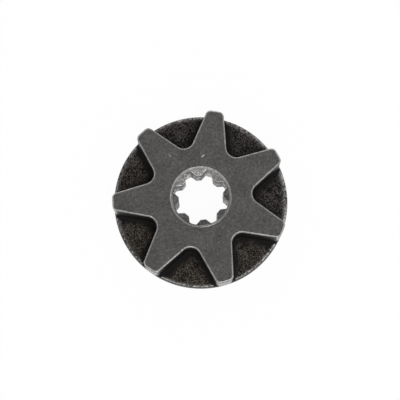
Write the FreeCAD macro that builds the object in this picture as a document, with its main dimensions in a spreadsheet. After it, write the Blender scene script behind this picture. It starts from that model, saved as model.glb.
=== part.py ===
import FreeCAD, Part
import math
import os
import Sketcher

# A chainsaw drive sprocket, pressed and sintered in one piece: a star of teeth on a single flange,
# with a splined bore. The origin is at the middle of the flange's back face, +Z runs along the bore
# towards the star, and one tooth points along -X, in line with a space of the spline.

NODE = "sprocket"

# The driving sizes, in millimetres and degrees. The width of a tooth's tip is taken across its sharp
# corners, and a flank angle is the lean of a flank from the middle line of its own tooth.
SIZES = {
    "outer_diameter": 36.0,
    "total_height": 9.6,
    "flange_thickness": 2.2,
    "rim_chamfer": 0.45,
    "back_chamfer": 0.6,
    "tooth_count": 7,
    "tooth_tip_width": 3.36,
    "flank_angle": 13.8,
    "root_radius": 2.07,
    "tip_fillet": 1.0,
    "star_bevel": 0.28,
    "bore_minor_diameter": 9.1,
    "bore_major_diameter": 11.32,
    "spline_count": 8,
    "spline_tip_width": 1.1,
    "spline_flank_angle": 46.0,
    "spline_tip_fillet": 0.3,
    "spline_root_fillet": 0.5,
    "mouth_diameter": 12.6,
    "mouth_bevel": 0.42,
    "front_neck_depth": 0.5,
    "back_neck_depth": 1.7,
    "lead_in_angle": 10.0,
}

# Points closer than this, in millimetres, are taken to coincide when edges are picked.
NEAR = 1e-4

# The numbers that stand for a sketch's X axis and origin, and for the points of an element.
X_AXIS = -1
START, END, CENTRE = 1, 2, 3
ORIGIN = (X_AXIS, START)

# The ways in which a sketch is moved off its plane.
OFFSETS = {
    "out": "AttachmentOffset.Base.z",
    "up": "AttachmentOffset.Base.y",
    "tipped_over": "AttachmentOffset.Rotation.Roll",
}


def point(x, y):
    return FreeCAD.Vector(x, y, 0)


def polar(radius, degrees):
    turn = math.radians(degrees)
    return point(radius * math.cos(turn), radius * math.sin(turn))


def circle(centre, radius):
    return Part.Circle(centre, FreeCAD.Vector(0, 0, 1), radius)


def arc(centre, radius, first_degrees, last_degrees):
    ends = math.radians(first_degrees), math.radians(last_degrees)
    return Part.ArcOfCircle(circle(centre, radius), *ends)


def chain(*corners):
    return [Part.LineSegment(start, end) for start, end in zip(corners, corners[1:])]


def off_axis(spot):
    return math.hypot(spot.x, spot.y)


def make_sheet(doc):
    """The sheet of driving sizes, with a name and an aliased value in each row."""
    sheet = doc.addObject("Spreadsheet::Sheet", "sizes")
    for row, (name, value) in enumerate(SIZES.items(), start=1):
        sheet.set(f"A{row}", name)
        sheet.set(f"B{row}", str(value))
        sheet.setAlias(f"B{row}", name)
    doc.recompute()


def origin_feature(body, role):
    return next(item for item in body.Origin.OriginFeatures if item.Role == role)


def new_sketch(body, name, role, **offsets):
    """A sketch on an origin plane of its body, moved off it by the expressions that are given."""
    sketch = body.newObject("Sketcher::SketchObject", name)
    sketch.AttachmentSupport = [(origin_feature(body, role), "")]
    sketch.MapMode = "FlatFace"
    for way, expression in offsets.items():
        sketch.setExpression(OFFSETS[way], expression)
    return sketch


def tie(sketch, *constraint):
    sketch.addConstraint(Sketcher.Constraint(*constraint))


def drive(sketch, name, expression, kind, *elements):
    """A dimension of a sketch that takes its value from the sheet."""
    value = float(sketch.evalExpression(expression))
    if kind == "Angle":
        value = math.radians(value)
    index = sketch.addConstraint(Sketcher.Constraint(kind, *elements, value))
    sketch.renameConstraint(index, name)
    sketch.setExpression(f"Constraints.{name}", expression)


def join_in_loop(sketch, elements):
    """Ties the end of each element to the start of the next, and of the last to the first."""
    for element, following in zip(elements, elements[1:] + elements[:1]):
        tie(sketch, "Coincident", element, END, following, START)


def add_circle(sketch, diameter):
    """A circle round the sketch's origin, with its diameter from the sheet."""
    outline = sketch.addGeometry(circle(point(0, 0), SIZES[diameter] / 2))
    tie(sketch, "Coincident", outline, CENTRE, *ORIGIN)
    drive(sketch, diameter, f"sizes.{diameter}", "Diameter", outline)


def add_tooth_guide(sketch, flank, count, diameter, tip_width):
    """Two construction lines that place a flank: the middle line of the next tooth, half a pitch
    round, and square to its end half the width of the tip, which ends on the flank."""
    half_pitch = 180 / SIZES[count]
    middle_end = polar(SIZES[diameter] / 2, half_pitch)
    corner = middle_end + polar(SIZES[tip_width] / 2, half_pitch - 90)
    middle, half_tip = sketch.addGeometry(chain(point(0, 0), middle_end, corner), True)
    tie(sketch, "Coincident", middle, START, *ORIGIN)
    tie(sketch, "Coincident", middle, END, half_tip, START)
    tie(sketch, "Perpendicular", middle, half_tip)
    drive(sketch, "half_pitch", f"180 / sizes.{count}", "Angle", middle)
    drive(sketch, "tip_radius", f"sizes.{diameter} / 2", "Distance", middle)
    drive(sketch, "half_tip", f"sizes.{tip_width} / 2", "Distance", half_tip)
    tie(sketch, "PointOnObject", half_tip, END, flank)


def cut(body, kind, name, sketch, **settings):
    """A pocket or groove, which has to take material away."""
    before = body.Shape.Volume
    feature = body.newObject(kind, name)
    feature.Profile = sketch
    for setting, value in settings.items():
        setattr(feature, setting, value)
    body.Document.recompute()
    if body.Shape.Volume > before - NEAR:
        raise RuntimeError(f"{name} cuts nothing")
    return feature


def repeat_round(body, name, feature, count):
    """Copies of a feature all round the bore's axis."""
    pattern = body.newObject("PartDesign::PolarPattern", name)
    pattern.Originals = [feature]
    pattern.Axis = (origin_feature(body, "Z_Axis"), [""])
    pattern.Angle = 360
    pattern.setExpression("Occurrences", f"sizes.{count}")
    body.Tip = pattern
    body.Document.recompute()


def edges_where(body, wanted):
    """The names of the edges of which a condition holds, given their start, middle and end."""
    names = []
    for number, edge in enumerate(body.Shape.Edges, start=1):
        first, last = edge.ParameterRange
        if wanted([edge.valueAt(place) for place in (first, (first + last) / 2, last)]):
            names.append(f"Edge{number}")
    return names


def dress_edges(body, kind, name, edges, setting, size):
    """A fillet or chamfer on some edges of the body as it stands."""
    base = body.Tip
    feature = body.newObject(kind, name)
    feature.Base = (base, edges)
    feature.setExpression(setting, f"sizes.{size}")
    body.Document.recompute()


def pad_star_stock(body):
    """The star's round stock, which goes down into the flange as far as the rim's chamfer does."""
    sketch = new_sketch(body, "star_outline", "XY_Plane", out="sizes.flange_thickness - sizes.rim_chamfer")
    add_circle(sketch, "outer_diameter")
    pad = body.newObject("PartDesign::Pad", "star_stock")
    pad.Profile = sketch
    pad.setExpression("Length", "sizes.total_height - sizes.flange_thickness + sizes.rim_chamfer")
    body.Document.recompute()


def cut_gullets(body):
    """The gullets between the teeth. The first is on +X: a round root between two straight flanks,
    which run out well past the teeth."""
    sketch = new_sketch(body, "gullet_outline", "XY_Plane", out="sizes.total_height")
    lean = 180 / SIZES["tooth_count"] + SIZES["flank_angle"]
    root_x = SIZES["outer_diameter"] / 3
    far_x = SIZES["outer_diameter"]
    far_y = (far_x - root_x) * math.tan(math.radians(lean))
    root_top = point(root_x, 0) + polar(SIZES["root_radius"], 90 + lean)
    root = sketch.addGeometry(arc(point(root_x, 0), SIZES["root_radius"], 90 + lean, 270 - lean))
    flank, closing, other_flank = sketch.addGeometry(
        chain(root_top, point(far_x, far_y), point(far_x, -far_y), point(root_top.x, -root_top.y))
    )
    tie(sketch, "Tangent", root, START, flank, START)
    tie(sketch, "Coincident", flank, END, closing, START)
    tie(sketch, "Coincident", closing, END, other_flank, START)
    tie(sketch, "Tangent", other_flank, END, root, END)
    tie(sketch, "PointOnObject", root, CENTRE, X_AXIS)
    tie(sketch, "Symmetric", flank, END, other_flank, START, X_AXIS)
    drive(sketch, "root_radius", "sizes.root_radius", "Radius", root)
    drive(sketch, "lean", "180 / sizes.tooth_count + sizes.flank_angle", "Angle", flank)
    drive(sketch, "far_side", "sizes.outer_diameter", "DistanceX", *ORIGIN, flank, END)
    add_tooth_guide(sketch, flank, "tooth_count", "outer_diameter", "tooth_tip_width")
    gullet = cut(body, "PartDesign::Pocket", "gullet", sketch, Type="ThroughAll")
    repeat_round(body, "gullets", gullet, "tooth_count")


def round_uprights(body, name, diameter, size):
    """Rounds the upright edges that stand on a diameter, where the flanks of teeth meet it."""
    radius = SIZES[diameter] / 2

    def upright_there(spots):
        upright = abs(spots[0].z - spots[-1].z) > NEAR
        return upright and all(abs(off_axis(spot) - radius) < NEAR for spot in spots)

    corners = edges_where(body, upright_there)
    dress_edges(body, "PartDesign::Fillet", name, corners, "Radius", size)


def add_flange(body):
    """The flange under the star: a disc with a chamfer on the upper and the lower edge of its rim."""
    sketch = new_sketch(body, "flange_section", "XZ_Plane")
    radius = SIZES["outer_diameter"] / 2
    thickness = SIZES["flange_thickness"]
    rim = SIZES["rim_chamfer"]
    back = SIZES["back_chamfer"]
    corners = [
        point(0, 0),
        point(radius - back, 0),
        point(radius, back),
        point(radius, thickness - rim),
        point(radius - rim, thickness),
        point(0, thickness),
    ]
    section = list(sketch.addGeometry(chain(*corners, corners[0])))
    back_face, back_edge, side, rim_edge, floor, axis = section
    join_in_loop(sketch, section)
    tie(sketch, "Coincident", back_face, START, *ORIGIN)
    tie(sketch, "Horizontal", back_face)
    tie(sketch, "Vertical", side)
    tie(sketch, "Horizontal", floor)
    tie(sketch, "Vertical", axis)
    drive(sketch, "radius", "sizes.outer_diameter / 2", "DistanceX", *ORIGIN, side, START)
    drive(sketch, "thickness", "sizes.flange_thickness", "DistanceY", *ORIGIN, floor, END)
    drive(sketch, "back_width", "sizes.back_chamfer", "DistanceX", back_edge, START, back_edge, END)
    drive(sketch, "back_height", "sizes.back_chamfer", "DistanceY", back_edge, START, back_edge, END)
    drive(sketch, "rim_width", "sizes.rim_chamfer", "DistanceX", rim_edge, END, rim_edge, START)
    drive(sketch, "rim_height", "sizes.rim_chamfer", "DistanceY", rim_edge, START, rim_edge, END)
    flange = body.newObject("PartDesign::Revolution", "flange")
    flange.Profile = sketch
    flange.ReferenceAxis = (sketch, ["V_Axis"])
    flange.Angle = 360
    body.Document.recompute()


def cut_bore(body):
    """The bore, as wide as the tips of the spline's teeth leave it."""
    sketch = new_sketch(body, "bore_outline", "XY_Plane", out="sizes.total_height")
    add_circle(sketch, "bore_minor_diameter")
    cut(body, "PartDesign::Pocket", "bore", sketch, Type="ThroughAll")


def cut_spline(body):
    """The spaces between the spline's teeth. The first is on +X: its flanks close in as they go out to
    the major diameter, and its inner end is open to the bore."""
    sketch = new_sketch(body, "space_outline", "XY_Plane", out="sizes.total_height")
    lean = SIZES["spline_flank_angle"] - 180 / SIZES["spline_count"]
    major = SIZES["bore_major_diameter"] / 2
    inner = SIZES["bore_minor_diameter"] / 4
    spread = 60 / SIZES["spline_count"]
    top = polar(major, spread)
    inner_top = top.y + (top.x - inner) * math.tan(math.radians(lean))
    outer = sketch.addGeometry(arc(point(0, 0), major, -spread, spread))
    flank, closing, other_flank = sketch.addGeometry(
        chain(top, point(inner, inner_top), point(inner, -inner_top), point(top.x, -top.y))
    )
    join_in_loop(sketch, [outer, flank, closing, other_flank])
    tie(sketch, "Coincident", outer, CENTRE, *ORIGIN)
    tie(sketch, "Vertical", outer, START, outer, END)
    tie(sketch, "Symmetric", flank, END, other_flank, START, X_AXIS)
    drive(sketch, "major_radius", "sizes.bore_major_diameter / 2", "Radius", outer)
    drive(sketch, "lean", "sizes.spline_flank_angle - 180 / sizes.spline_count", "Angle", other_flank)
    drive(sketch, "inner_end", "sizes.bore_minor_diameter / 4", "DistanceX", *ORIGIN, flank, END)
    add_tooth_guide(sketch, flank, "spline_count", "bore_minor_diameter", "spline_tip_width")
    space = cut(body, "PartDesign::Pocket", "spline_space", sketch, Type="ThroughAll")
    repeat_round(body, "spline_spaces", space, "spline_count")


def cut_mouth(body, name, depth, **offsets):
    """One end of the bore: a bevelled ring, a straight neck down to a depth, and inside it the ends of the
    spline's teeth, which slope into the bore. The section hangs below the X axis of its sketch."""
    sketch = new_sketch(body, f"{name}_section", "XZ_Plane", **offsets)
    radius = SIZES["mouth_diameter"] / 2
    bevel = SIZES["mouth_bevel"]
    neck_end = SIZES[depth]
    drop = radius * math.tan(math.radians(SIZES["lead_in_angle"]))
    corners = [
        point(0, 0),
        point(radius, 0),
        point(radius - bevel, -bevel),
        point(radius - bevel, -neck_end),
        point(0, -neck_end - drop),
    ]
    section = list(sketch.addGeometry(chain(*corners, corners[0])))
    face, ring, neck, lead_in, axis = section
    join_in_loop(sketch, section)
    tie(sketch, "Coincident", face, START, *ORIGIN)
    tie(sketch, "Horizontal", face)
    tie(sketch, "Vertical", neck)
    tie(sketch, "Vertical", axis)
    drive(sketch, "mouth_radius", "sizes.mouth_diameter / 2", "Distance", face)
    drive(sketch, "bevel_width", "sizes.mouth_bevel", "DistanceX", ring, END, ring, START)
    drive(sketch, "bevel_height", "sizes.mouth_bevel", "DistanceY", ring, END, ring, START)
    drive(sketch, "neck_end", f"sizes.{depth}", "DistanceY", neck, END, *ORIGIN)
    drive(sketch, "lead_in", "180 + sizes.lead_in_angle", "Angle", lead_in)
    cut(body, "PartDesign::Groove", name, sketch, ReferenceAxis=(sketch, ["V_Axis"]), Angle=360)


def bevel_star(body):
    """The bevel round the outline of the star's face."""
    height = SIZES["total_height"]
    mouth_radius = SIZES["mouth_diameter"] / 2

    def on_outline(spots):
        return all(abs(spot.z - height) < NEAR and off_axis(spot) > mouth_radius + NEAR for spot in spots)

    outline = edges_where(body, on_outline)
    dress_edges(body, "PartDesign::Chamfer", "star_edge", outline, "Size", "star_bevel")


def check(doc, body):
    """Stops before anything is written if an object failed or the body isn't one sound solid."""
    for item in doc.Objects:
        if "Invalid" in item.State or "Error" in item.State:
            raise RuntimeError(f"{item.Label} failed: {item.State}")
    shape = body.Shape
    if shape.isNull() or not shape.isValid() or len(shape.Solids) != 1:
        raise RuntimeError(f"{body.Label} isn't one sound solid")


def main():
    doc = FreeCAD.newDocument("drive_sprocket")
    make_sheet(doc)
    body = doc.addObject("PartDesign::Body", NODE)
    body.Label = NODE
    pad_star_stock(body)
    cut_gullets(body)
    round_uprights(body, "tip_corners", "outer_diameter", "tip_fillet")
    add_flange(body)
    cut_bore(body)
    cut_spline(body)
    round_uprights(body, "spline_tips", "bore_minor_diameter", "spline_tip_fillet")
    round_uprights(body, "spline_roots", "bore_major_diameter", "spline_root_fillet")
    cut_mouth(body, "front_mouth", "front_neck_depth", up="sizes.total_height")
    cut_mouth(body, "back_mouth", "back_neck_depth", tipped_over="180")
    bevel_star(body)
    doc.recompute()
    check(doc, body)
    os.makedirs("parts", exist_ok=True)
    body.Shape.exportStep(f"parts/{body.Label}.step")


main()
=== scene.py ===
"""Looks of a chainsaw drive sprocket: a pressed and sintered steel star on a flange, with a
splined bore.

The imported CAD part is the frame. One mesh skin takes its place and adds what the solid leaves
plain: rounded edges, the radius at the foot of the teeth, the grain of the pressed gullet floors
and the worn rim. Its main sizes are the solid's, and a few small ones are eased to the photo.
Sizes are in millimetres and go to metres as the skin is made.
"""
import math

import bmesh
import bpy
from mathutils import Matrix, Vector, noise


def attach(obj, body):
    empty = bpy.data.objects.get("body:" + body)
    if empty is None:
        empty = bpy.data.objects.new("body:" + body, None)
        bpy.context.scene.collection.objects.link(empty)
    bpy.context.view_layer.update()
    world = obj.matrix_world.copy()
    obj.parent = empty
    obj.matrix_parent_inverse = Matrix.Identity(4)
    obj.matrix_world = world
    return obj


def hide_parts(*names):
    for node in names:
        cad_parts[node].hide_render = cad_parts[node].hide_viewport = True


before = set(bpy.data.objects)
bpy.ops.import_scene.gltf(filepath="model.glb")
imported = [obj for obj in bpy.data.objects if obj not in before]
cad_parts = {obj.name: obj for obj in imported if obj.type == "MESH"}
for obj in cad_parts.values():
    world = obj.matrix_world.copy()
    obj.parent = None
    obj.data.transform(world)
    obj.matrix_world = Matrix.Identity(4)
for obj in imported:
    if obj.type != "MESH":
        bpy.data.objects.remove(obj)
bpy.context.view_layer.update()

MM = 0.001

# The outer sizes come from the frame.
cad_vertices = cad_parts["sprocket"].data.vertices
OUTER_RADIUS = max(vertex.co.xy.length for vertex in cad_vertices) / MM
HEIGHT = max(vertex.co.z for vertex in cad_vertices) / MM

# Flange. Its rim is worn round, from a little inside the chamfer.
FLANGE_THICKNESS = 2.2
RIM_CHAMFER = 0.5
RIM_SOFTENING = 0.15
RIM_RADIUS = OUTER_RADIUS - RIM_CHAMFER
BACK_ROUND = 1.3

# Star. The radius at the foot of the teeth runs out over the fade, towards the rim.
TOOTH_COUNT = 7
PITCH = 2 * math.pi / TOOTH_COUNT
TOOTH_TIP_WIDTH = 3.36
FLANK_ANGLE = math.radians(13.8)
ROOT_RADIUS = 2.07
TIP_FILLET = 1.0
STAR_BEVEL = 0.28
FOOT_RADIUS = 0.45
FOOT_FADE = 1.2

# Tips. A tip is where the outline faces outwards by more than TIP_FACING. A narrow land grows at
# the foot of its bevel over the range of LAND_FACING, with pits where noise is above a level.
TIP_FACING = 0.45
TIP_LAND = 0.055
LAND_FACING = (0.7, 0.95)
LAND_DROP = 0.02
PIT_LEVEL = -0.1
PITS_PER_MM = 1.3

# Splined bore. The spline is turned and shifted a little, as in the photo.
SPLINE_COUNT = 8
SPLINE_PITCH = 2 * math.pi / SPLINE_COUNT
SPLINE_TIP_RADIUS = 4.55
SPLINE_SPACE_RADIUS = 5.66
SPLINE_TIP_WIDTH = 1.1
SPLINE_FLANK_ANGLE = math.radians(46.0)
SPLINE_TURN = math.radians(-0.8)
SPLINE_SHIFT = (0.04, -0.015)
SPLINE_TIP_FILLET = 0.3
SPLINE_ROOT_FILLET = 0.5
SPLINE_EDGE = 0.085
MOUTH_RADIUS = 6.25
MOUTH_BEVEL = 0.45
MOUTH_BULGE = 0.015
NECK_RADIUS = MOUTH_RADIUS - MOUTH_BEVEL
BACK_NECK_DEPTH = 1.7
LEAD_IN_ANGLE = math.radians(10.0)

# In the photo the part is turned by this much. Its front is the photo's lower side, which starts
# and is reached at these depths below the middle, as shares of the radius.
PART_TURN = math.radians(3.32) - 3 * PITCH
FRONT_RANGE = (0.2, 0.7)

# Grain of the gullet floors. It sets in over a range of distances from the teeth, which wander,
# and is calmer by the rim. The steps tell the noise of one gullet from that of the next.
GRAIN_SIZE = 0.26
GRAIN_HEIGHT = 0.075
GRAIN_MIDDLE = 0.5
GRAIN_BASE = 0.85
GRAIN_MOST = 1.2
GRAIN_STEP = 17.3
FINE_PER_MM = 4.1
FINE_SHARE = 0.35
PATCHES_PER_MM = 0.9
PATCH_SHARE = 0.2
# The band by the teeth that the grain keeps clear of is partly the floor's real smooth finish and
# partly painted shade from the teeth.
GRAIN_CLEAR = (0.45, 2.1)
WANDER_STEP = 31.7
WANDER_PER_MM = 0.4
WANDER_REACH = 0.8
CALM_WIDTH = 1.0
CALM_GRAIN = 0.25

# Wear along the rim. It starts this far out from the rim's start, so inside it, and further out at
# the front. It keeps clear of the teeth over a range of distances.
RIM_WEAR_START = -0.68
RIM_WEAR_FRONT = 0.2
RIM_WEAR_WIDTH = 0.46
RIM_WEAR_GRAIN = 0.5
RIM_CLEAR = (0.3, 1.3)

# Steps and rows of the mesh.
SAME_PLACE = 1e-6
SOFT_EDGE = 0.05
RING_MARGIN = 5 * SOFT_EDGE
MOUTH_MARGIN = 3 * SOFT_EDGE
OUTLINE_STEP = 0.13
TIP_STEP = 0.25
FLOOR_STEP = 0.135
FOOT_STEPS = (0.0, 0.06, 0.13, 0.21, 0.30, 0.40)
RIM_ROWS = 5
SIDE_ROWS = 2
# Rows of the rim that the front gives to the dark side finish, as painted shade by the floor.
FRONT_SHADED_ROWS = 2
BEVEL_TURNS = (0.0, 22.5, 45.0, 67.5, 90.0)
WALL_SHARES = (0.02, 0.25, 0.5, 0.75, 0.95)
FACE_SHARES = (0.5, 1.0)
ROUND_TURNS = (30.0, 60.0, 90.0)
CORNER_STEPS = 4
SPLINE_STEP = 0.3
BRIGHT_ROOT_POINTS = 3
MOUTH_STEPS = 6
CONE_SHARES = (0.1, 0.3, 1.0)
BORE_SHARES = (0.03, 0.2, 0.35, 0.5, 0.65, 0.8, 0.97)

FINISHES = (
    "face", "edge", "wall", "tip", "floor", "rim", "side", "back",
    "mouth", "lead_in", "spline_edge", "bore", "tip_edge",
)


def smoothstep(low, high, value):
    """A share that goes smoothly from 0 at low to 1 at high."""
    t = min(max((value - low) / (high - low), 0.0), 1.0)
    return t * t * (3 - 2 * t)


def polar(radius, angle):
    return Vector((radius * math.cos(angle), radius * math.sin(angle)))


def turned(vector, angle):
    return Matrix.Rotation(angle, 2) @ vector


def mirrored(vector):
    return Vector((vector.x, -vector.y))


def arc(centre, radius, start, end, step=OUTLINE_STEP):
    """Points on an arc from angle start to angle end, both included."""
    count = max(3, math.ceil(abs(end - start) * radius / step))
    return [centre + polar(radius, start + (end - start) * i / count) for i in range(count + 1)]


def line(start, end, step=OUTLINE_STEP):
    """Points on a line from start to end, both included."""
    count = max(2, math.ceil((end - start).length / step))
    return [start.lerp(end, i / count) for i in range(count + 1)]


def run_to_circle(start, way, radius):
    """How far it is from a point along a unit direction to a circle round the origin."""
    reach = start.dot(way)
    return math.sqrt(reach**2 - start.length_squared + radius**2) - reach


class Gullet:
    """One gap between two teeth, seen along its own axis, which is X."""

    def __init__(self):
        lean = PITCH / 2 + FLANK_ANGLE
        half_tip = TOOTH_TIP_WIDTH / 2
        self.along = Vector((math.cos(lean), math.sin(lean)))
        self.into = Vector((-math.sin(lean), math.cos(lean)))
        on_axis = Vector((math.sqrt(OUTER_RADIUS**2 - half_tip**2), -half_tip))
        corner = turned(on_axis, PITCH / 2)
        self.root = Vector(((self.into.dot(corner) - ROOT_RADIUS) / self.into.x, 0.0))
        base = corner + TIP_FILLET * self.into
        run = run_to_circle(base, self.along, OUTER_RADIUS - TIP_FILLET)
        self.tip = base + run * self.along
        self.flank_start = self.root + ROOT_RADIUS * self.into
        self.flank_end = self.tip - TIP_FILLET * self.into
        self.half_angle = math.atan2(self.tip.y, self.tip.x)

    def half_path(self):
        """Pairs of a point and the way into the steel, from the root to the tooth's tip."""
        root_end = math.atan2(self.into.y, self.into.x)
        root = arc(self.root, ROOT_RADIUS, math.pi, root_end)
        flank = line(self.flank_start, self.flank_end)
        corner_start = math.atan2(-self.into.y, -self.into.x)
        corner = arc(self.tip, TIP_FILLET, corner_start, self.half_angle)
        path = [(p, (p - self.root).normalized()) for p in root]
        path += [(p, self.into) for p in flank[1:]]
        return path + [(p, (self.tip - p).normalized()) for p in corner[1:]]

    def path(self):
        """The same from one tip, round the root, to the other tip."""
        half = self.half_path()
        return [(mirrored(p), mirrored(n)) for p, n in half[:0:-1]] + half

    def distance(self, point):
        """How far a point of the gap is from the teeth."""
        p = Vector((point.x, abs(point.y)))
        run = (p - self.flank_start).dot(self.along)
        if run < 0:
            return max(0.0, ROOT_RADIUS - (p - self.root).length)
        if run > (self.flank_end - self.flank_start).length:
            return max(0.0, (p - self.tip).length - TIP_FILLET)
        return max(0.0, -(p - self.flank_start).dot(self.into))


class Skin:
    """The part's surface, gathered row by row."""

    def __init__(self):
        self.points = []
        self.rough = []
        self.wear = []
        self.faces = []
        self.finishes = []

    def vertex(self, flat, z, rough=0.0, wear=0.0):
        self.points.append((flat.x * MM, flat.y * MM, z * MM))
        self.rough.append(rough)
        self.wear.append(wear)
        return len(self.points) - 1

    def row(self, flats, height):
        return [self.vertex(flat, height) for flat in flats]

    def height(self, index):
        return self.points[index][2] / MM

    def angle(self, index):
        x, y, _ = self.points[index]
        return math.atan2(y, x) % (2 * math.pi)

    def angle_after(self, ring, place):
        """Angle of the vertex after a place, past the full turn where the ring starts again."""
        again = place + 1 >= len(ring)
        return self.angle(ring[(place + 1) % len(ring)]) + (2 * math.pi if again else 0.0)

    def face(self, corners, finish):
        """A face, with corners that fall together taken as one."""
        kept = [c for i, c in enumerate(corners) if c != corners[i - 1]]
        if len(kept) > 2:
            self.faces.append(kept)
            self.finishes.append(FINISHES.index(finish))

    def strips(self, rows, finishes):
        """Closed strips between each row and the next, with a finish for each place on them."""
        for upper, lower in zip(rows, rows[1:]):
            for i, finish in enumerate(finishes):
                self.face((upper[i - 1], upper[i], lower[i], lower[i - 1]), finish)

    def stack(self, rows, finish):
        """The same in one finish."""
        self.strips(rows, [finish] * len(rows[0]))

    def zip_rings(self, first, second, finish):
        """A strip between two rings with different counts."""
        rings = [sorted(ring, key=self.angle) for ring in (first, second)]
        at = [0, 0]
        while at[0] < len(first) or at[1] < len(second):
            nexts = [self.angle_after(ring, place) for ring, place in zip(rings, at)]
            first_is_next = at[0] < len(first) and nexts[0] <= nexts[1]
            side = 0 if first_is_next or at[1] >= len(second) else 1
            a = rings[0][at[0] % len(first)]
            b = rings[1][at[1] % len(second)]
            at[side] += 1
            c = rings[side][at[side] % len(rings[side])]
            self.face((a, c, b), finish)

    def make(self, name, materials):
        """The object, with a material for each finish and the shares of grain and wear."""
        mesh = bpy.data.meshes.new(name)
        mesh.from_pydata(self.points, [], self.faces)
        for finish in FINISHES:
            mesh.materials.append(materials[finish])
        mesh.polygons.foreach_set("material_index", self.finishes)
        for share, values in (("rough", self.rough), ("wear", self.wear)):
            mesh.attributes.new(share, "FLOAT", "POINT").data.foreach_set("value", values)
        sheet = bmesh.new()
        sheet.from_mesh(mesh)
        bmesh.ops.recalc_face_normals(sheet, faces=sheet.faces)
        sheet.to_mesh(mesh)
        sheet.free()
        mesh.shade_smooth()
        piece = bpy.data.objects.new(name, mesh)
        bpy.context.scene.collection.objects.link(piece)
        return piece


gullet = Gullet()
skin = Skin()


def rim_height(radius):
    """Height of the flange's upper side without its grain: flat, then falling over the worn rim."""
    start = RIM_RADIUS - RIM_SOFTENING
    t = max(0.0, (radius - start) / (OUTER_RADIUS - start))
    return FLANGE_THICKNESS - RIM_CHAMFER * min(t, 1.0) ** 2


def foot_height(point):
    """Rise of the floor where it turns up into the teeth."""
    radius = FOOT_RADIUS * smoothstep(0.0, FOOT_FADE, OUTER_RADIUS - point.length)
    gap = radius - gullet.distance(point)
    return radius - math.sqrt(max(0.0, radius**2 - gap**2)) if gap > 0 else 0.0


def grain_at(point, number):
    """Grain of the pressed floor, from 0 in a pit to about 1 on a crest."""
    place = Vector((point.x, point.y, GRAIN_STEP * number))
    cell = noise.voronoi(place / GRAIN_SIZE)[0][0]
    fine = noise.noise(place * FINE_PER_MM)
    patch = noise.noise(place * PATCHES_PER_MM)
    grain = GRAIN_BASE - cell + FINE_SHARE * fine + PATCH_SHARE * patch
    return min(max(grain, 0.0), GRAIN_MOST)


def front_share(point, number):
    """Share of the way to the front."""
    angle = math.atan2(point.y, point.x) + number * PITCH + PART_TURN
    return smoothstep(*FRONT_RANGE, -math.sin(angle))


def floor_vertex(point, number):
    """A vertex of a gullet floor, placed in the part."""
    gap = gullet.distance(point)
    wander = noise.noise(Vector((point.x, point.y, WANDER_STEP * number)) * WANDER_PER_MM)
    # Where rough is low, by the teeth, the floor's material paints the floor dark as painted shade.
    rough = smoothstep(*GRAIN_CLEAR, gap + WANDER_REACH * wander)
    edge = smoothstep(0.0, CALM_WIDTH, OUTER_RADIUS - point.length)
    grain = grain_at(point, number)
    calm = CALM_GRAIN + (1 - CALM_GRAIN) * edge
    lift = GRAIN_HEIGHT * (grain - GRAIN_MIDDLE) * rough * calm
    height = rim_height(point.length) + foot_height(point) + lift
    start = RIM_WEAR_START + RIM_WEAR_FRONT * front_share(point, number)
    outside = point.length - RIM_RADIUS + RIM_WEAR_GRAIN * (grain - GRAIN_MIDDLE)
    wear = smoothstep(start, start + RIM_WEAR_WIDTH, outside) * smoothstep(*RIM_CLEAR, gap)
    return skin.vertex(turned(point, number * PITCH), height, rough, wear)


def floor_shares():
    """Shares of the way from a tooth's foot to the rim, closer together in the foot's radius."""
    longest = RIM_RADIUS - (gullet.root.x - ROOT_RADIUS)
    foot = FOOT_STEPS[-1]
    count = math.ceil((longest - foot) / FLOOR_STEP)
    rest = tuple(foot + (longest - foot) * (i + 1) / count for i in range(count))
    return [step / longest for step in FOOT_STEPS + rest]


def rim_crossing(start, end):
    """Share of the way from start to end at which the rim begins."""
    if start.length >= RIM_RADIUS:
        return 0.0
    way = end - start
    a = way.length_squared
    b = start.dot(way)
    c = start.length_squared - RIM_RADIUS**2
    return (math.sqrt(b * b - a * c) - b) / a


def floor_column(start, end, number, shares):
    """One line of vertices over a gullet floor, from the tooth's foot to the outer edge."""
    if (end - start).length < SAME_PLACE:
        only = skin.vertex(turned(start, number * PITCH), rim_height(start.length))
        return [only] * (len(shares) + RIM_ROWS)
    rim = rim_crossing(start, end)
    column = [floor_vertex(start, number)]
    if rim > 0:
        column += [floor_vertex(start.lerp(end, rim * share), number) for share in shares[1:]]
    else:
        column *= len(shares)
    for i in range(RIM_ROWS):
        column.append(floor_vertex(start.lerp(end, rim + (1 - rim) * (i + 1) / RIM_ROWS), number))
    return column


def worn_row_count(end, number):
    """How many rows of the rim are worn bright: none by the teeth, and fewer at the front, where
    the rest take the dark side finish as painted shade.
    """
    if gullet.distance(end) <= sum(RIM_CLEAR) / 2:
        return 0
    return round(RIM_ROWS - 1 - FRONT_SHADED_ROWS * front_share(end, number))


def row_finish(row, worn):
    """Finish of a row of the floor. Rows count from the rim's start, and its first may be worn."""
    if row < 0:
        return "floor"
    if row < worn:
        return "rim"
    # Rows past the worn ones take the dark side finish; the extra ones at the front are painted
    # shade.
    return "side" if worn or row >= RIM_ROWS - SIDE_ROWS else "floor"


def gullet_floor(number, path):
    """A gullet's floor. Gives its vertices along the teeth and along the outer edge."""
    travel = [0.0]
    for (p, _), (q, _) in zip(path, path[1:]):
        travel.append(travel[-1] + (q - p).length)
    shares = floor_shares()
    columns = []
    worn_rows = []
    for (point, _), way in zip(path, travel):
        angle = gullet.half_angle * (2 * way / travel[-1] - 1)
        at_tip = way in (travel[0], travel[-1])
        end = point if at_tip else polar(OUTER_RADIUS, angle)
        columns.append(floor_column(point, end, number, shares))
        worn_rows.append(worn_row_count(end, number))
    rim_at = len(shares) - 1
    for left, right, worn in zip(columns, columns[1:], worn_rows):
        for j in range(len(left) - 1):
            corners = (left[j], left[j + 1], right[j + 1], right[j])
            skin.face(corners, row_finish(j - rim_at, worn))
    return [column[0] for column in columns], [column[-1] for column in columns]


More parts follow.
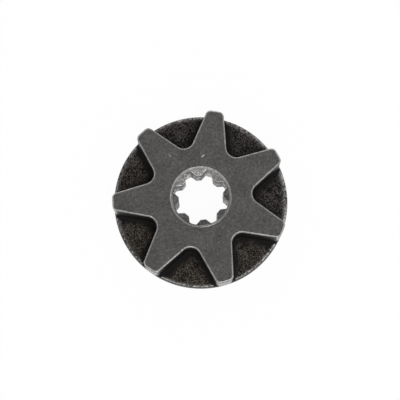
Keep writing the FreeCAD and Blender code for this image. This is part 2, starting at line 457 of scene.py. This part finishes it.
def floors_and_outline():
    """The gullet floors. Gives the star's outline as pairs of a point and the way into the steel,
    the vertices along its foot, and those along the flange's outer edge."""
    outline = []
    foot_row = []
    outer_row = []
    path = gullet.path()
    half_tip = PITCH / 2 - gullet.half_angle
    for number in range(TOOTH_COUNT):
        feet, edges = gullet_floor(number, path)
        outline += [(turned(p, number * PITCH), turned(n, number * PITCH)) for p, n in path]
        middle = (number + 0.5) * PITCH
        ends = (middle - half_tip, middle + half_tip)
        tip = arc(Vector((0, 0)), OUTER_RADIUS, *ends, TIP_STEP)[1:-1]
        tips = skin.row(tip, rim_height(OUTER_RADIUS))
        outline += [(p, -p.normalized()) for p in tip]
        foot_row += feet + tips
        outer_row += edges + tips
    return outline, foot_row, outer_row


def tip_facing(point, inward):
    """How far a place of the outline faces outwards: 1 in the middle of a tip, 0 off the tips."""
    if point.length <= OUTER_RADIUS - TIP_FILLET:
        return 0.0
    return -inward.dot(point.normalized())


def bevel_rows(outline, lands):
    """Rows of the star's bevel, from its face to the land at the bevel's foot."""
    rows = []
    for degrees in BEVEL_TURNS:
        turn = math.radians(degrees)
        row = []
        for (point, inward), land in zip(outline, lands):
            place = point + (land + (STAR_BEVEL - land) * (1 - math.sin(turn))) * inward
            row.append(skin.vertex(place, HEIGHT - STAR_BEVEL * (1 - math.cos(turn))))
        rows.append(row)
    return rows


def wall_rows(outline, foot_row):
    """Rows of the star's walls, from the land's outer edge to the foot."""
    high = HEIGHT - STAR_BEVEL - LAND_DROP
    rows = [skin.row([point for point, _ in outline], high)]
    for share in WALL_SHARES:
        row = []
        for (point, _), foot in zip(outline, foot_row):
            row.append(skin.vertex(point, high + (skin.height(foot) - high) * share))
        rows.append(row)
    return rows + [foot_row]


def land_finishes(outline, lands, on_tip):
    """Finishes along the bevel's foot: the tip's, with the dark one of the walls in its pits."""
    finishes = []
    for (point, _), land, tip in zip(outline, lands, on_tip):
        pitted = land > 0 and noise.noise(point.to_3d() * PITS_PER_MM) > PIT_LEVEL
        finishes.append("tip" if tip and not pitted else "wall")
    return finishes


def star(outline, foot_row):
    """The star's bevel, walls and face. Gives the inner ring of its face."""
    facings = [tip_facing(point, inward) for point, inward in outline]
    lands = [TIP_LAND * smoothstep(*LAND_FACING, facing) for facing in facings]
    on_tip = [min(facings[i - 1], facing) > TIP_FACING for i, facing in enumerate(facings)]
    bevel = bevel_rows(outline, lands)
    starts = [point + (STAR_BEVEL + SOFT_EDGE) * inward for point, inward in outline]
    face = [skin.row(starts, HEIGHT)]
    skin.stack([face[0], bevel[0]], "face")
    skin.strips(bevel, ["tip_edge" if tip else "edge" for tip in on_tip])
    walls = wall_rows(outline, foot_row)
    skin.strips([bevel[-1], walls[0]], land_finishes(outline, lands, on_tip))
    skin.strips(walls, ["tip" if tip else "wall" for tip in on_tip])
    ends = [start.normalized() * (MOUTH_RADIUS + RING_MARGIN) for start in starts]
    for share in FACE_SHARES:
        face.append(skin.row([p.lerp(q, share) for p, q in zip(starts, ends)], HEIGHT))
    skin.stack(face, "face")
    return face[-1]


def flange_side(outer_row):
    """The flange's outer side and back. Gives the inner ring of the back."""
    ring = [v for i, v in enumerate(outer_row) if i == 0 or v != outer_row[i - 1]]
    ways = [Vector(skin.points[vertex][:2]).normalized() for vertex in ring]

    def round_row(radius, height):
        return skin.row([way * radius for way in ways], height)

    side = [ring]
    top = rim_height(OUTER_RADIUS)
    heights = (top - SOFT_EDGE, (top + BACK_ROUND) / 2, BACK_ROUND + SOFT_EDGE, BACK_ROUND)
    for height in heights:
        side.append(round_row(OUTER_RADIUS, height))
    for degrees in ROUND_TURNS:
        turn = math.radians(degrees)
        radius = OUTER_RADIUS - BACK_ROUND * (1 - math.cos(turn))
        side.append(round_row(radius, BACK_ROUND * (1 - math.sin(turn))))
    skin.stack(side, "side")
    back = [side[-1]]
    for radius in (OUTER_RADIUS - BACK_ROUND - SOFT_EDGE, MOUTH_RADIUS + RING_MARGIN):
        back.append(round_row(radius, 0.0))
    skin.stack(back, "back")
    return back[-1]


def rounded_corner(before, corner, after, radius):
    """Points of an arc of that radius that takes the place of a corner."""
    u = (before - corner).normalized()
    v = (after - corner).normalized()
    half = u.angle(v) / 2
    reach = radius / math.tan(half)
    centre = corner + (u + v).normalized() * (radius / math.sin(half))
    start = corner + u * reach - centre
    end = corner + v * reach - centre
    step = -start.angle_signed(end) / CORNER_STEPS
    return [centre + turned(start, step * i) for i in range(CORNER_STEPS + 1)]


def spline_tooth():
    """One pitch of the bore's outline, from the middle of a tooth, as pairs of a point and the
    finish of the edge there."""
    half_tip = SPLINE_TIP_WIDTH / 2
    tip = Vector((math.sqrt(SPLINE_TIP_RADIUS**2 - half_tip**2), half_tip))
    along = polar(1.0, SPLINE_FLANK_ANGLE)
    base = tip + run_to_circle(tip, along, SPLINE_SPACE_RADIUS) * along
    space_way = turned(base, math.pi / 2)
    tip_corner = rounded_corner(Vector((tip.x, 0)), tip, base, SPLINE_TIP_FILLET)
    root_corner = rounded_corner(tip, base, base + space_way, SPLINE_ROOT_FILLET)
    flank = line(tip_corner[-1], root_corner[0], SPLINE_STEP)[1:-1]
    space_start = math.atan2(root_corner[-1].y, root_corner[-1].x)
    space_ends = (space_start, SPLINE_PITCH / 2)
    space = arc(Vector((0, 0)), SPLINE_SPACE_RADIUS, *space_ends, SPLINE_STEP)[1:]
    bright = [Vector((tip_corner[0].x, 0))] + tip_corner + flank + root_corner[:BRIGHT_ROOT_POINTS]
    half = [(p, "spline_edge") for p in bright]
    half += [(p, "bore") for p in root_corner[BRIGHT_ROOT_POINTS:]]
    half += [(p, "lead_in") for p in space]
    return half + [(turned(mirrored(p), SPLINE_PITCH), finish) for p, finish in half[-2:0:-1]]


def spline_outline():
    """The bore's closed outline: a point, the way into the steel and the edge's finish at each
    place."""
    tooth = spline_tooth()
    shift = turned(Vector(SPLINE_SHIFT), -PART_TURN)
    points = []
    for i in range(SPLINE_COUNT):
        points += [turned(p, SPLINE_TURN + (i + 0.5) * SPLINE_PITCH) + shift for p, _ in tooth]
    places = []
    for i, point in enumerate(points):
        way = points[(i + 1) % len(points)] - points[i - 1]
        places.append((point, Vector((way.y, -way.x)).normalized(), tooth[i % len(tooth)][1]))
    return places


def bore_end(outline, height_at, neck_depth, flat_finish):
    """One end of the bore: a bevelled mouth, a neck where it goes deeper than the bevel, a lead-in
    cone and the spline's rounded edge. Depths count from the flat face. Gives the outer ring and
    the row where the spline's walls start."""
    ways = [point.normalized() for point, _, _ in outline]
    edges = [min(SPLINE_EDGE, (NECK_RADIUS - point.length) / 2) for point, _, _ in outline]

    def ring(radius, depth):
        return skin.row([way * radius for way in ways], height_at(depth))

    def cone_depth(radius):
        return neck_depth + (NECK_RADIUS - radius) * math.tan(LEAD_IN_ANGLE)

    mouth = [ring(MOUTH_RADIUS + MOUTH_MARGIN, 0.0)]
    for step in range(MOUTH_STEPS + 1):
        share = step / MOUTH_STEPS
        bulge = MOUTH_BULGE * 4 * share * (1 - share)
        fall = MOUTH_BEVEL * share
        mouth.append(ring(MOUTH_RADIUS - fall - bulge, fall - bulge))
    cone = [mouth[-1]]
    if neck_depth > MOUTH_BEVEL:
        for depth in (MOUTH_BEVEL + SOFT_EDGE, neck_depth - SOFT_EDGE, neck_depth):
            cone.append(ring(NECK_RADIUS, depth))
    for share in CONE_SHARES:
        row = []
        for (point, inward, _), way, edge in zip(outline, ways, edges):
            place = (way * NECK_RADIUS).lerp(point + edge * inward, share)
            row.append(skin.vertex(place, height_at(cone_depth(place.length))))
        cone.append(row)
    corners = [cone[-1]]
    for degrees in ROUND_TURNS:
        turn = math.radians(degrees)
        row = []
        for (point, inward, _), edge in zip(outline, edges):
            place = point + edge * (1 - math.sin(turn)) * inward
            start = cone_depth((point + edge * inward).length)
            row.append(skin.vertex(place, height_at(start + SPLINE_EDGE * (1 - math.cos(turn)))))
        corners.append(row)
    skin.stack(mouth[:2], flat_finish)
    skin.stack(mouth[1:], "mouth")
    skin.stack(cone, "lead_in")
    skin.strips(corners, [finish for _, _, finish in outline])
    return mouth[0], corners[-1]


def bore(face_ring, back_ring):
    """The splined bore with its two ends, joined to the star's face and to the flange's back."""
    outline = spline_outline()
    top_ring, top_edge = bore_end(outline, lambda depth: HEIGHT - depth, MOUTH_BEVEL, "face")
    low_ring, low_edge = bore_end(outline, lambda depth: depth, BACK_NECK_DEPTH, "back")
    skin.zip_rings(face_ring, top_ring, "face")
    skin.zip_rings(back_ring, low_ring, "back")
    walls = [top_edge]
    for share in BORE_SHARES:
        row = []
        for (point, _, _), high, low in zip(outline, top_edge, low_edge):
            top = skin.height(high)
            row.append(skin.vertex(point, top + (skin.height(low) - top) * share))
        walls.append(row)
    skin.stack(walls + [low_edge], "bore")


# Tones of the finishes. The stops pair a place on the scale of the grain's tones with a tone for
# the floor, and with a shade of the bore's tone for the bore.
GROUND_TONE = (0.0815, 0.0768, 0.075)
EDGE_TONE = (0.30, 0.295, 0.29)
MOUTH_TONE = (0.41, 0.403, 0.396)
BARE_TONE = (0.62, 0.61, 0.6)
RIM_TONE = (0.3, 0.292, 0.284)
WALL_TONE = (0.010, 0.0092, 0.0094)
TIP_TONE = (0.1, 0.097, 0.095)
SIDE_TONE = (0.085, 0.083, 0.081)
LEAD_IN_TONE = (0.14, 0.137, 0.134)
# The smooth band by the teeth: the floor's own smooth finish, painted darker as painted shade.
SMOOTH_SHADED_TONE = (0.0115, 0.0103, 0.0103)
FLOOR_STOPS = (
    (0.08, (0.0024, 0.0021, 0.002)),
    (0.35, (0.0215, 0.019, 0.0181)),
    (0.7, (0.053, 0.047, 0.0449)),
    (1.0, (0.125, 0.111, 0.106)),
)
BORE_TONE = (0.5, 0.49, 0.478)
BORE_STOPS = ((0.2, 0.03), (0.45, 0.55), (0.7, 1.15), (0.95, 1.5))
FACE_SHADE = 1.12
TIP_EDGE_SHADE = 1.4

# Fades over the part: a direction in the photo in degrees, the places along it between which the
# fade runs, and the shade or the tint at its end. The three shades are painted shade, each
# darkening its surface towards one side.
FACE_PAINTED_SHADE = (270.0, -17.0, 17.0, 0.8)
# Painted shade: the mouth's bevel darker towards one side.
MOUTH_PAINTED_SHADE = (315.0, -6.0, 6.0, 0.76)
# Painted shade: the rim's lighter band darker towards the back.
RIM_PAINTED_SHADE = (125.0, -18.0, 18.0, 0.36)
WARM_FADE = (240.0, -4.0, 8.0)
WARM_TINT = (1.14, 1.1, 0.96)

# Scratches on the star's face: place, length, width, turn in degrees and share.
NICK_TONE = (0.6, 0.59, 0.58)
NICKS = ((-4.45, -7.16, 1.0, 0.27, 9.0, 1.0), (1.39, -10.5, 1.0, 0.25, 105.0, 0.4))

# Patterns of plain steel. A noise lies about its mean, and a range gives two of its levels with
# what they stand for.
NOISE_MEAN = 0.5
CLOUDS_PER_MM = 0.3
CLOUD_SHARE = 0.3
SPECKS_PER_MM = 3.1
SPECK_RANGE = (0.66, 0.76, 0.0, 0.8)
STEEL_PITS_PER_MM = 3.6
STEEL_PIT_RANGE = (0.40, 0.28, 0.0, 0.75)
STEEL_PIT_SHADE = 0.35
TOOTH_RANGE = (0.3, 0.7)
COAT_ROUGHNESS = 0.15

# Patterns of coarse grain: how far apart the crests are in grains, how much the crests and the
# grains shift the tone, its start, the crests' middle value, and the noise on top.
CREST_SPACING = 1.7
CREST_SHARE = 1.5
CREST_MIDDLE = 0.5
TONE_START = 0.2
TONE_SHARE = 0.6
NOISE_PER_GRAIN = 1.5
TONE_PATCHES_PER_MM = 0.6
GRAIN_TOOTH_PER_MM = 4.6
GRAIN_RELIEF = 0.03
FLOOR_GRAIN = 0.155
WORN_PER_MM = 3.0
WORN_RANGE = (0.4, 0.6, 0.1, 0.9)

# The bore's streaks are drawn out along it. They darken towards the star's face between two depths,
# as painted shade at the top of the bore, and on the tips of the spline's teeth between two radii.
STREAK_LENGTH = 7.0
STREAK_GRAIN = 0.34
PAINTED_SHADE_DEPTHS = (5.0, 0.9)
PAINTED_SHADE_SHARE = 0.97
PAINTED_SHADE_LEVEL = 0.03
INNER_RADII = (5.3, 4.6)
INNER_TINT = (0.68, 0.68, 0.68)

# Places of a colour mix node's sockets, whose names repeat.
MIX_FIRST = 6
MIX_SECOND = 7
MIX_RESULT = 2


def new_material(name):
    material = bpy.data.materials.new(name)
    material.use_nodes = True
    return material, material.node_tree, material.node_tree.nodes["Principled BSDF"]


def add_node(tree, kind, values=(), links=(), **settings):
    """A node with its settings, its input values and its input links."""
    made = tree.nodes.new(kind)
    for key, value in settings.items():
        setattr(made, key, value)
    for key, value in dict(values).items():
        made.inputs[key].default_value = value
    for key, source in dict(links).items():
        tree.links.new(source, made.inputs[key])
    return made


def object_place(tree):
    return add_node(tree, "ShaderNodeTexCoord").outputs["Object"]


def surface_place(tree, stretch=1.0):
    """Places on the part in millimetres. Stretch draws a pattern on them out along the bore."""
    values = {"Scale": (1 / MM, 1 / MM, 1 / MM / stretch)}
    links = {"Vector": object_place(tree)}
    return add_node(tree, "ShaderNodeMapping", values, links).outputs["Vector"]


def noise_node(tree, place, per_mm, detail=3.0, rough=0.6):
    values = {"Scale": per_mm, "Detail": detail, "Roughness": rough}
    return add_node(tree, "ShaderNodeTexNoise", values, {"Vector": place}).outputs["Fac"]


def cell_node(tree, place, size):
    """Cells of about that size."""
    return add_node(tree, "ShaderNodeTexVoronoi", {"Scale": 1 / size}, {"Vector": place})


def length_node(tree, vector):
    links = {0: vector}
    return add_node(tree, "ShaderNodeVectorMath", (), links, operation="LENGTH").outputs["Value"]


def math_node(tree, operation, first, second, third=0.0):
    """A sum on sockets and plain numbers."""
    made = add_node(tree, "ShaderNodeMath", operation=operation)
    for socket, source in zip(made.inputs, (first, second, third)):
        if isinstance(source, bpy.types.NodeSocket):
            tree.links.new(source, socket)
        else:
            socket.default_value = source
    return made.outputs[0]


def ramp_node(tree, source, stops):
    """A colour ramp through pairs of a place and a colour."""
    made = add_node(tree, "ShaderNodeValToRGB", links={"Fac": source})
    elements = made.color_ramp.elements
    while len(elements) < len(stops):
        elements.new(0.5)
    for element, (place, colour) in zip(elements, stops):
        element.position = place
        element.color = (*colour, 1.0)
    return made.outputs["Color"]


def range_node(tree, source, low, high, to_low, to_high):
    values = {"From Min": low, "From Max": high, "To Min": to_low, "To Max": to_high}
    return add_node(tree, "ShaderNodeMapRange", values, {"Value": source}).outputs["Result"]


def mix_node(tree, share, first, second, blend="MIX"):
    """A colour mixed with a share of a plain colour."""
    values = {MIX_SECOND: (*second, 1.0)}
    links = {"Factor": share, MIX_FIRST: first}
    settings = {"data_type": "RGBA", "blend_type": blend}
    return add_node(tree, "ShaderNodeMix", values, links, **settings).outputs[MIX_RESULT]


def tint_node(tree, share, colour, tint):
    """A colour multiplied by a share of a tint."""
    return mix_node(tree, share, colour, tint, "MULTIPLY")


def across(tree, place, degrees, low, high):
    """A share that goes from 0 to 1 over the part, between two places along a direction in the
    photo."""
    way = turned(polar(1.0, math.radians(degrees)), -PART_TURN)
    values = {1: (way.x, way.y, 0.0)}
    links = {0: place}
    made = add_node(tree, "ShaderNodeVectorMath", values, links, operation="DOT_PRODUCT")
    return range_node(tree, made.outputs["Value"], low, high, 0.0, 1.0)


def bump_node(tree, height, depth):
    """Relief of that depth in millimetres."""
    values = {"Strength": 1.0, "Distance": depth * MM}
    return add_node(tree, "ShaderNodeBump", values, {"Height": height}).outputs["Normal"]


def shade(tone, factor):
    return tuple(min(1.0, channel * factor) for channel in tone)


def nick_node(tree, place, nick):
    """Share of a scratch at each place: the most along a short line, none a little way off it."""
    x, y, length, width, turn, most = nick
    values = {
        "Location": (x, y, HEIGHT),
        "Rotation": (0.0, 0.0, math.radians(turn)),
        "Scale": (length / 2, width / 2, 1.0),
    }
    links = {"Vector": place}
    local = add_node(tree, "ShaderNodeMapping", values, links, vector_type="TEXTURE")
    return range_node(tree, length_node(tree, local.outputs["Vector"]), 1.0, 0.5, 0.0, most)


def set_surface(tree, shader, colour, fine, rough, relief, metallic, gloss):
    """Joins a colour and a fine tooth to the shader. The tooth sets the roughness and relief."""
    tree.links.new(colour, shader.inputs["Base Color"])
    tree.links.new(range_node(tree, fine, *TOOTH_RANGE, *rough), shader.inputs["Roughness"])
    tree.links.new(bump_node(tree, fine, relief), shader.inputs["Normal"])
    shader.inputs["Metallic"].default_value = metallic
    shader.inputs["Specular IOR Level"].default_value = gloss


def steel(
    name, tone, spread, metallic, rough, size=0.6, reach=0.14, speck=2.5, stretch=1.0,
    tooth=6.0, relief=0.006, gloss=0.5, coat=0.0, fade=None, nicks=(),
):
    """Dark steel in a mean tone. It is mottled in patches of about that size, with light specks,
    dark pits and a fine tooth to the surface."""
    material, tree, shader = new_material(name)
    place = surface_place(tree, stretch)
    cloud = noise_node(tree, place, CLOUDS_PER_MM)
    mottle = noise_node(tree, place, 1 / size, detail=4.0, rough=0.7)
    fine = noise_node(tree, place, tooth, detail=2.0)
    mottle = math_node(tree, "MULTIPLY", mottle, 1 - CLOUD_SHARE)
    blend = math_node(tree, "MULTIPLY_ADD", cloud, CLOUD_SHARE, mottle)
    colour = ramp_node(tree, blend, (
        (NOISE_MEAN - reach, shade(tone, 1 - spread)),
        (NOISE_MEAN, tone),
        (NOISE_MEAN + reach, shade(tone, 1 + spread)),
    ))
    specks = (SPECKS_PER_MM, SPECK_RANGE, speck)
    pits = (STEEL_PITS_PER_MM, STEEL_PIT_RANGE, STEEL_PIT_SHADE)
    for per_mm, levels, factor in (specks, pits):
        share = range_node(tree, noise_node(tree, place, per_mm, detail=1.0), *levels)
        colour = mix_node(tree, share, colour, shade(tone, factor))
    # A fade darkens the tone towards one side of the part, as painted shade.
    if fade:
        *span, end = fade
        colour = tint_node(tree, across(tree, place, *span), colour, (end, end, end))
    for nick in nicks:
        colour = mix_node(tree, nick_node(tree, place, nick), colour, NICK_TONE)
    set_surface(tree, shader, colour, fine, rough, relief, metallic, gloss)
    shader.inputs["Coat Weight"].default_value = coat
    shader.inputs["Coat Roughness"].default_value = COAT_ROUGHNESS
    return material


def grain_colour(tree, place, size, fine, patch, stops):
    """Colour of coarse grains, each with its own tone, on crests with dark gaps between them. Fine
    noise and patches shift the tone up or down by about half the shares given."""
    cells = cell_node(tree, place, size)
    links = {"Color": cells.outputs["Color"]}
    grains = add_node(tree, "ShaderNodeSeparateColor", links=links).outputs["Red"]
    crests = cell_node(tree, place, CREST_SPACING * size).outputs["Distance"]
    tone = TONE_START + CREST_SHARE * CREST_MIDDLE - NOISE_MEAN * (fine + patch)
    tone = math_node(tree, "MULTIPLY_ADD", crests, -CREST_SHARE, tone)
    fine_noise = noise_node(tree, place, NOISE_PER_GRAIN / size)
    tone = math_node(tree, "MULTIPLY_ADD", fine_noise, fine, tone)
    patches = noise_node(tree, place, TONE_PATCHES_PER_MM)
    tone = math_node(tree, "MULTIPLY_ADD", patches, patch, tone)
    return ramp_node(tree, math_node(tree, "MULTIPLY_ADD", grains, TONE_SHARE, tone), stops)


def grain_tooth(tree, place):
    return noise_node(tree, place, GRAIN_TOOTH_PER_MM, detail=3.0, rough=0.75)


def share_node(tree, name):
    """One of the shares that the skin carries."""
    return add_node(tree, "ShaderNodeAttribute", attribute_name=name).outputs["Fac"]


def floor_steel(name):
    """The pressed floor of the gullets: smoothly pressed by the teeth and painted darker there as
    painted shade, then grains from brown-black to bright, and worn lighter towards the rim, where
    painted shade dims the wear towards the back."""
    material, tree, shader = new_material(name)
    place = surface_place(tree)
    colour = grain_colour(tree, place, FLOOR_GRAIN, fine=0.4, patch=0.9, stops=FLOOR_STOPS)
    colour = tint_node(tree, across(tree, place, *WARM_FADE), colour, WARM_TINT)
    # The band by the teeth is painted dark, partly as painted shade.
    smooth_shaded_band = math_node(tree, "SUBTRACT", 1.0, share_node(tree, "rough"))
    colour = mix_node(tree, smooth_shaded_band, colour, SMOOTH_SHADED_TONE)
    broken = range_node(tree, noise_node(tree, place, WORN_PER_MM), *WORN_RANGE)
    worn = math_node(tree, "MULTIPLY", share_node(tree, "wear"), broken)
    # Painted shade dims the worn rim towards the back.
    *span, end = RIM_PAINTED_SHADE
    painted_rim_shade = range_node(tree, across(tree, place, *span), 0.0, 1.0, 1.0, end)
    colour = mix_node(tree, math_node(tree, "MULTIPLY", worn, painted_rim_shade), colour, RIM_TONE)
    fine = grain_tooth(tree, place)
    set_surface(
        tree, shader, colour, fine,
        rough=(0.5, 0.7), relief=GRAIN_RELIEF, metallic=0.4, gloss=0.08,
    )
    return material


def bore_steel(name):
    """The bore's walls: bright and dark streaks along the bore, darker towards the star's face as
    painted shade, and darker on the tips of the spline's teeth."""
    material, tree, shader = new_material(name)
    place = surface_place(tree, STREAK_LENGTH)
    stops = [(at, shade(BORE_TONE, factor)) for at, factor in BORE_STOPS]
    colour = grain_colour(tree, place, STREAK_GRAIN, fine=0.5, patch=0.2, stops=stops)
    coords = object_place(tree)
    height = add_node(tree, "ShaderNodeSeparateXYZ", links={"Vector": coords}).outputs["Z"]
    # Painted shade: the walls darken towards the star's face.
    low, high = ((HEIGHT - depth) * MM for depth in PAINTED_SHADE_DEPTHS)
    dark = range_node(tree, height, low, high, 0.0, PAINTED_SHADE_SHARE)
    colour = mix_node(tree, dark, colour, shade(BORE_TONE, PAINTED_SHADE_LEVEL))
    values = {1: (1.0, 1.0, 0.0)}
    links = {0: coords}
    flat = add_node(tree, "ShaderNodeVectorMath", values, links, operation="MULTIPLY")
    off_axis = length_node(tree, flat.outputs["Vector"])
    outer, inner = (radius * MM for radius in INNER_RADII)
    on_tips = range_node(tree, off_axis, outer, inner, 0.0, 1.0)
    colour = tint_node(tree, on_tips, colour, INNER_TINT)
    fine = grain_tooth(tree, place)
    set_surface(
        tree, shader, colour, fine,
        rough=(0.35, 0.55), relief=GRAIN_RELIEF, metallic=0.5, gloss=0.3,
    )
    return material


def finish_materials():
    """A material for each finish."""
    return {
        # The face carries painted shade, darker towards the front.
        "face": steel(
            "ground_face", shade(GROUND_TONE, FACE_SHADE), spread=0.42, metallic=0.6,
            rough=(0.42, 0.6), fade=FACE_PAINTED_SHADE, nicks=NICKS,
        ),
        "edge": steel("worn_edge", EDGE_TONE, spread=0.3, metallic=0.9, rough=(0.42, 0.56)),
        "wall": steel(
            "pressed_wall", WALL_TONE, spread=0.3, metallic=0.3, rough=(0.4, 0.55),
            stretch=6.0, gloss=0.2,
        ),
        "tip": steel(
            "tooth_tip", TIP_TONE, spread=0.5, metallic=0.5, rough=(0.25, 0.4), size=0.4,
            tooth=2.2, relief=0.5, coat=0.35,
        ),
        "floor": floor_steel("pressed_floor"),
        # The rim is worn bright and carries painted shade, darker towards the back.
        "rim": steel(
            "worn_rim_and_painted_shade", RIM_TONE, spread=0.9, metallic=0.9, rough=(0.3, 0.5), size=0.5,
            reach=0.06, speck=3.0, fade=RIM_PAINTED_SHADE,
        ),
        "side": steel(
            "outer_side", SIDE_TONE, spread=0.3, metallic=0.5, rough=(0.3, 0.45),
            stretch=4.0, coat=0.2,
        ),
        "back": steel("ground_back", GROUND_TONE, spread=0.36, metallic=0.6, rough=(0.42, 0.6)),
        # The mouth's bevel carries painted shade, darker towards one side.
        "mouth": steel(
            "mouth_bevel", MOUTH_TONE, spread=0.3, metallic=0.9, rough=(0.3, 0.42),
            fade=MOUTH_PAINTED_SHADE,
        ),
        "lead_in": steel(
            "lead_in", LEAD_IN_TONE, spread=0.8, metallic=0.95, rough=(0.3, 0.42), size=0.3,
            tooth=2.8, relief=0.06,
        ),
        "spline_edge": steel(
            "spline_edge", BARE_TONE, spread=0.3, metallic=0.95, rough=(0.3, 0.45),
        ),
        "bore": bore_steel("bore_wall"),
        "tip_edge": steel(
            "worn_tip_edge", shade(EDGE_TONE, TIP_EDGE_SHADE), spread=0.3, metallic=0.9,
            rough=(0.42, 0.56),
        ),
    }


def build_part():
    """The skin, which takes the place of the CAD node."""
    outline, foot_row, outer_row = floors_and_outline()
    face_ring = star(outline, foot_row)
    back_ring = flange_side(outer_row)
    bore(face_ring, back_ring)
    part = skin.make("sprocket_body", finish_materials())
    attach(part, "root")
    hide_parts("sprocket")


# Floor, in metres but for its gap under the part. It shows white to the camera and in gloss.
FLOOR_HALF = 4.0
FLOOR_GAP = 0.02
FLOOR_TONE = (0.9, 0.9, 0.9, 1.0)
FLOOR_ROUGHNESS = 0.9
FLOOR_SHOWN_WHITE = 0.96
WHITE = (1.0, 1.0, 1.0)

# Brightness of the dome from the horizon to overhead.
DOME_STOPS = ((0.0, 1.0), (0.35, 1.0), (0.8, 0.4), (1.0, 0.33))

# Lamps: a place in the photo's axes and a size, in metres, and the power in watts.
LAMPS = {
    "key_light": ((0.06, -0.17, 0.46), 0.25, 1.1),
    "rear_light": ((-0.1, 0.55, 0.12), 0.25, 0.4),
}

# Camera. Its distance and shift are from the middle of the star's face.
CAMERA_TILT = math.radians(7.95)
CAMERA_SWAY = math.radians(-0.05)
CAMERA_DISTANCE = 299.0
CAMERA_SHIFT = (-0.173, -0.627)
CAMERA_LENS = 132.75
CAMERA_SENSOR = 36.0
CAMERA_REACH = 100.0


def stage_floor():
    """A pale floor just under the part. It is clear from below, so that the part's back can be
    looked at."""
    mesh = bpy.data.meshes.new("floor")
    signs = ((-1, -1), (1, -1), (1, 1), (-1, 1))
    corners = [(x * FLOOR_HALF, y * FLOOR_HALF, -FLOOR_GAP * MM) for x, y in signs]
    mesh.from_pydata(corners, [], [(0, 1, 2, 3)])
    floor_object = bpy.data.objects.new("floor", mesh)
    bpy.context.scene.collection.objects.link(floor_object)
    material, tree, shader = new_material("pale_floor")
    shader.inputs["Base Color"].default_value = FLOOR_TONE
    shader.inputs["Roughness"].default_value = FLOOR_ROUGHNESS
    shader.inputs["Specular IOR Level"].default_value = 0.0
    white = add_node(tree, "ShaderNodeEmission", {"Color": (*WHITE, 1.0), "Strength": 1.0})
    path = add_node(tree, "ShaderNodeLightPath")
    seen = path.outputs["Is Camera Ray"]
    for name in ("Is Glossy Ray", "Is Transmission Ray"):
        seen = math_node(tree, "MAXIMUM", seen, path.outputs[name])
    share = math_node(tree, "MULTIPLY", seen, FLOOR_SHOWN_WHITE)
    links = {0: share, 1: shader.outputs["BSDF"], 2: white.outputs["Emission"]}
    mixed = add_node(tree, "ShaderNodeMixShader", links=links).outputs["Shader"]
    under = add_node(tree, "ShaderNodeNewGeometry").outputs["Backfacing"]
    clear = add_node(tree, "ShaderNodeBsdfTransparent").outputs["BSDF"]
    shown = add_node(tree, "ShaderNodeMixShader", links={0: under, 1: mixed, 2: clear})
    tree.links.new(shown.outputs["Shader"], tree.nodes["Material Output"].inputs["Surface"])
    mesh.materials.append(material)


def world_light():
    """A soft dome, white at the horizon and darker overhead."""
    world = bpy.data.worlds.new("studio")
    bpy.context.scene.world = world
    world.use_nodes = True
    tree = world.node_tree
    coords = add_node(tree, "ShaderNodeTexCoord").outputs["Generated"]
    parts = add_node(tree, "ShaderNodeSeparateXYZ", links={"Vector": coords})
    stops = [(at, shade(WHITE, brightness)) for at, brightness in DOME_STOPS]
    background = tree.nodes["Background"]
    tree.links.new(ramp_node(tree, parts.outputs["Z"], stops), background.inputs["Color"])
    background.inputs["Strength"].default_value = 1.0


def area_light(name, place, size, power):
    """A square soft light that faces the part's middle, placed in the photo's axes."""
    lamp = bpy.data.lights.new(name, "AREA")
    lamp.size = size
    lamp.energy = power
    lamp_object = bpy.data.objects.new(name, lamp)
    lamp_object.location = Matrix.Rotation(-PART_TURN, 3, "Z") @ Vector(place)
    aim = Vector((0, 0, HEIGHT * MM / 2)) - lamp_object.location
    lamp_object.rotation_euler = aim.to_track_quat("-Z", "Y").to_euler()
    bpy.context.scene.collection.objects.link(lamp_object)


def camera():
    """The photo's view: from above the star, a little from the front."""
    data = bpy.data.cameras.new("photo_camera")
    data.lens = CAMERA_LENS
    data.sensor_width = CAMERA_SENSOR
    data.clip_end = CAMERA_REACH
    view = bpy.data.objects.new("photo_camera", data)
    tilt = Matrix.Rotation(CAMERA_TILT, 4, "X")
    sway = Matrix.Rotation(-CAMERA_SWAY, 4, "Y")
    turn = Matrix.Rotation(-PART_TURN, 4, "Z")
    face_centre = Matrix.Translation((0, 0, HEIGHT * MM))
    back_off = Matrix.Translation(Vector((*CAMERA_SHIFT, CAMERA_DISTANCE)) * MM)
    view.matrix_world = face_centre @ turn @ sway @ tilt @ back_off
    bpy.context.scene.collection.objects.link(view)
    bpy.context.scene.camera = view


build_part()
stage_floor()
world_light()
for lamp_name, settings in LAMPS.items():
    area_light(lamp_name, *settings)
camera()
bpy.context.scene.view_settings.view_transform = "Standard"
